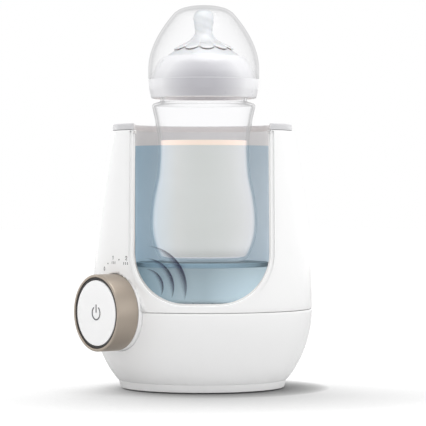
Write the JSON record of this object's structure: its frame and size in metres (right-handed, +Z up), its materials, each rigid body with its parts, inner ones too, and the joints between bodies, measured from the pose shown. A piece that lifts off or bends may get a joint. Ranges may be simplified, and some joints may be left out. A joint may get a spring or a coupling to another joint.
{
  "type": "bottle warmer",
  "caption": "Round water-bath bottle warmer with a U-shaped front window, a rotary selector with a push button, and a feeding bottle standing in its well.",
  "frame": {"origin": "centre of the base plate's flat underside, on the housing's vertical axis, 0.6 mm above the table that the rubber feet stand on", "axes": "+Z up along the well's axis; the window faces -Y; +X is to the right for someone facing the window"},
  "size_m": [0.1501, 0.2011, 0.2444],
  "materials": {
    "white_gloss_plastic": "smooth satin gloss white",
    "light_grey_plastic": "fine satin light grey",
    "liner_plastic": "satin blue-grey inner wall",
    "shroud_plastic": "pale satin",
    "clear_plastic": "clear, polished",
    "blue_pane": "clear with a light blue tint",
    "water": "clear water",
    "milk": "opaque cream liquid",
    "silicone": "translucent soft silicone",
    "champagne_metal": "satin anodised champagne",
    "black_plastic": "matt black",
    "grey_rubber": "matt rubber",
    "steel": "bright steel",
    "plate_metal": "satin plate",
    "circuit_board": "green solder mask",
    "component_plastic": "matt dark",
    "wire_sleeve": "pale sleeving",
    "cable_plastic": "satin white cable",
    "pin_brass": "nickel-free brass"
  },
  "bodies": {
    "warmer": {"upper_housing": "white_gloss_plastic", "lower_housing": "white_gloss_plastic", "top_rim": "light_grey_plastic", "base_plate": "white_gloss_plastic", "rubber_foot_1": "grey_rubber", "rubber_foot_2": "grey_rubber", "rubber_foot_3": "grey_rubber", "rubber_foot_4": "grey_rubber", "housing_screw_1": "steel", "housing_screw_2": "steel", "housing_screw_3": "steel", "housing_screw_4": "steel", "well_liner": "liner_plastic", "window_pane": "blue_pane", "window_gasket": "grey_rubber", "water": "water", "heating_plate": "plate_metal", "plate_seal": "grey_rubber", "heater_shroud": "shroud_plastic", "heating_element": "steel", "element_clamp": "steel", "clamp_screw": "steel", "temperature_sensor": "component_plastic", "thermal_fuse": "white_gloss_plastic", "control_board": "circuit_board", "relay": "component_plastic", "terminal_block": "component_plastic", "capacitor": "component_plastic", "heater_lead_1": "wire_sleeve", "heater_lead_2": "wire_sleeve", "mains_lead_1": "wire_sleeve", "mains_lead_2": "wire_sleeve", "dial_cable": "wire_sleeve", "dial_base": "white_gloss_plastic", "selector_body": "component_plastic", "dial_board": "circuit_board", "tact_switch": "component_plastic", "cord_grip": "light_grey_plastic", "power_cord": "cable_plastic", "plug_body": "cable_plastic", "plug_pin_1": "pin_brass", "plug_pin_2": "pin_brass"},
    "dial": {"dial_ring": "champagne_metal", "dial_trim": "black_plastic", "dial_sleeve": "black_plastic"},
    "start_button": {"start_button": "white_gloss_plastic", "button_stem": "light_grey_plastic", "button_spring": "steel"},
    "bottle": {"bottle": "clear_plastic", "milk": "milk"},
    "teat": {"teat": "silicone"},
    "screw_ring": {"screw_ring": "white_gloss_plastic"},
    "dome_cap": {"dome_cap": "clear_plastic"}
  },
  "joints": [
    {"name": "dial_turn", "type": "hinge", "parent": "warmer", "child": "dial", "pos_m": [0, 0, 0.0497], "axis": [-0.7826, -0.6225, 0], "range_deg": [-45, 45]},
    {"name": "start_press", "type": "slide", "parent": "warmer", "child": "start_button", "axis": [0.7826, 0.6225, 0], "range_m": [0, 0.0015], "stiffness_N_per_m": 300, "deforming": ["button_spring"]},
    {"name": "bottle_lift", "type": "slide", "parent": "warmer", "child": "bottle", "axis": [0, 0, 1], "range_m": [0, 0.1]},
    {"name": "teat_rise", "type": "slide", "parent": "bottle", "child": "teat", "axis": [0, 0, 1], "range_m": [0, 0.0076]},
    {"name": "ring_turn", "type": "hinge", "parent": "teat", "child": "screw_ring", "pos_m": [0.0008, 0, 0.19], "axis": [0, 0, 1], "range_deg": [0, 450]},
    {"name": "cap_lift", "type": "slide", "parent": "screw_ring", "child": "dome_cap", "axis": [0, 0, 1], "range_m": [0, 0.06]}
  ],
  "couplings": [
    {"joint": "teat_rise", "follows": "ring_turn", "m_per_rad": 0.00095493}
  ]
}
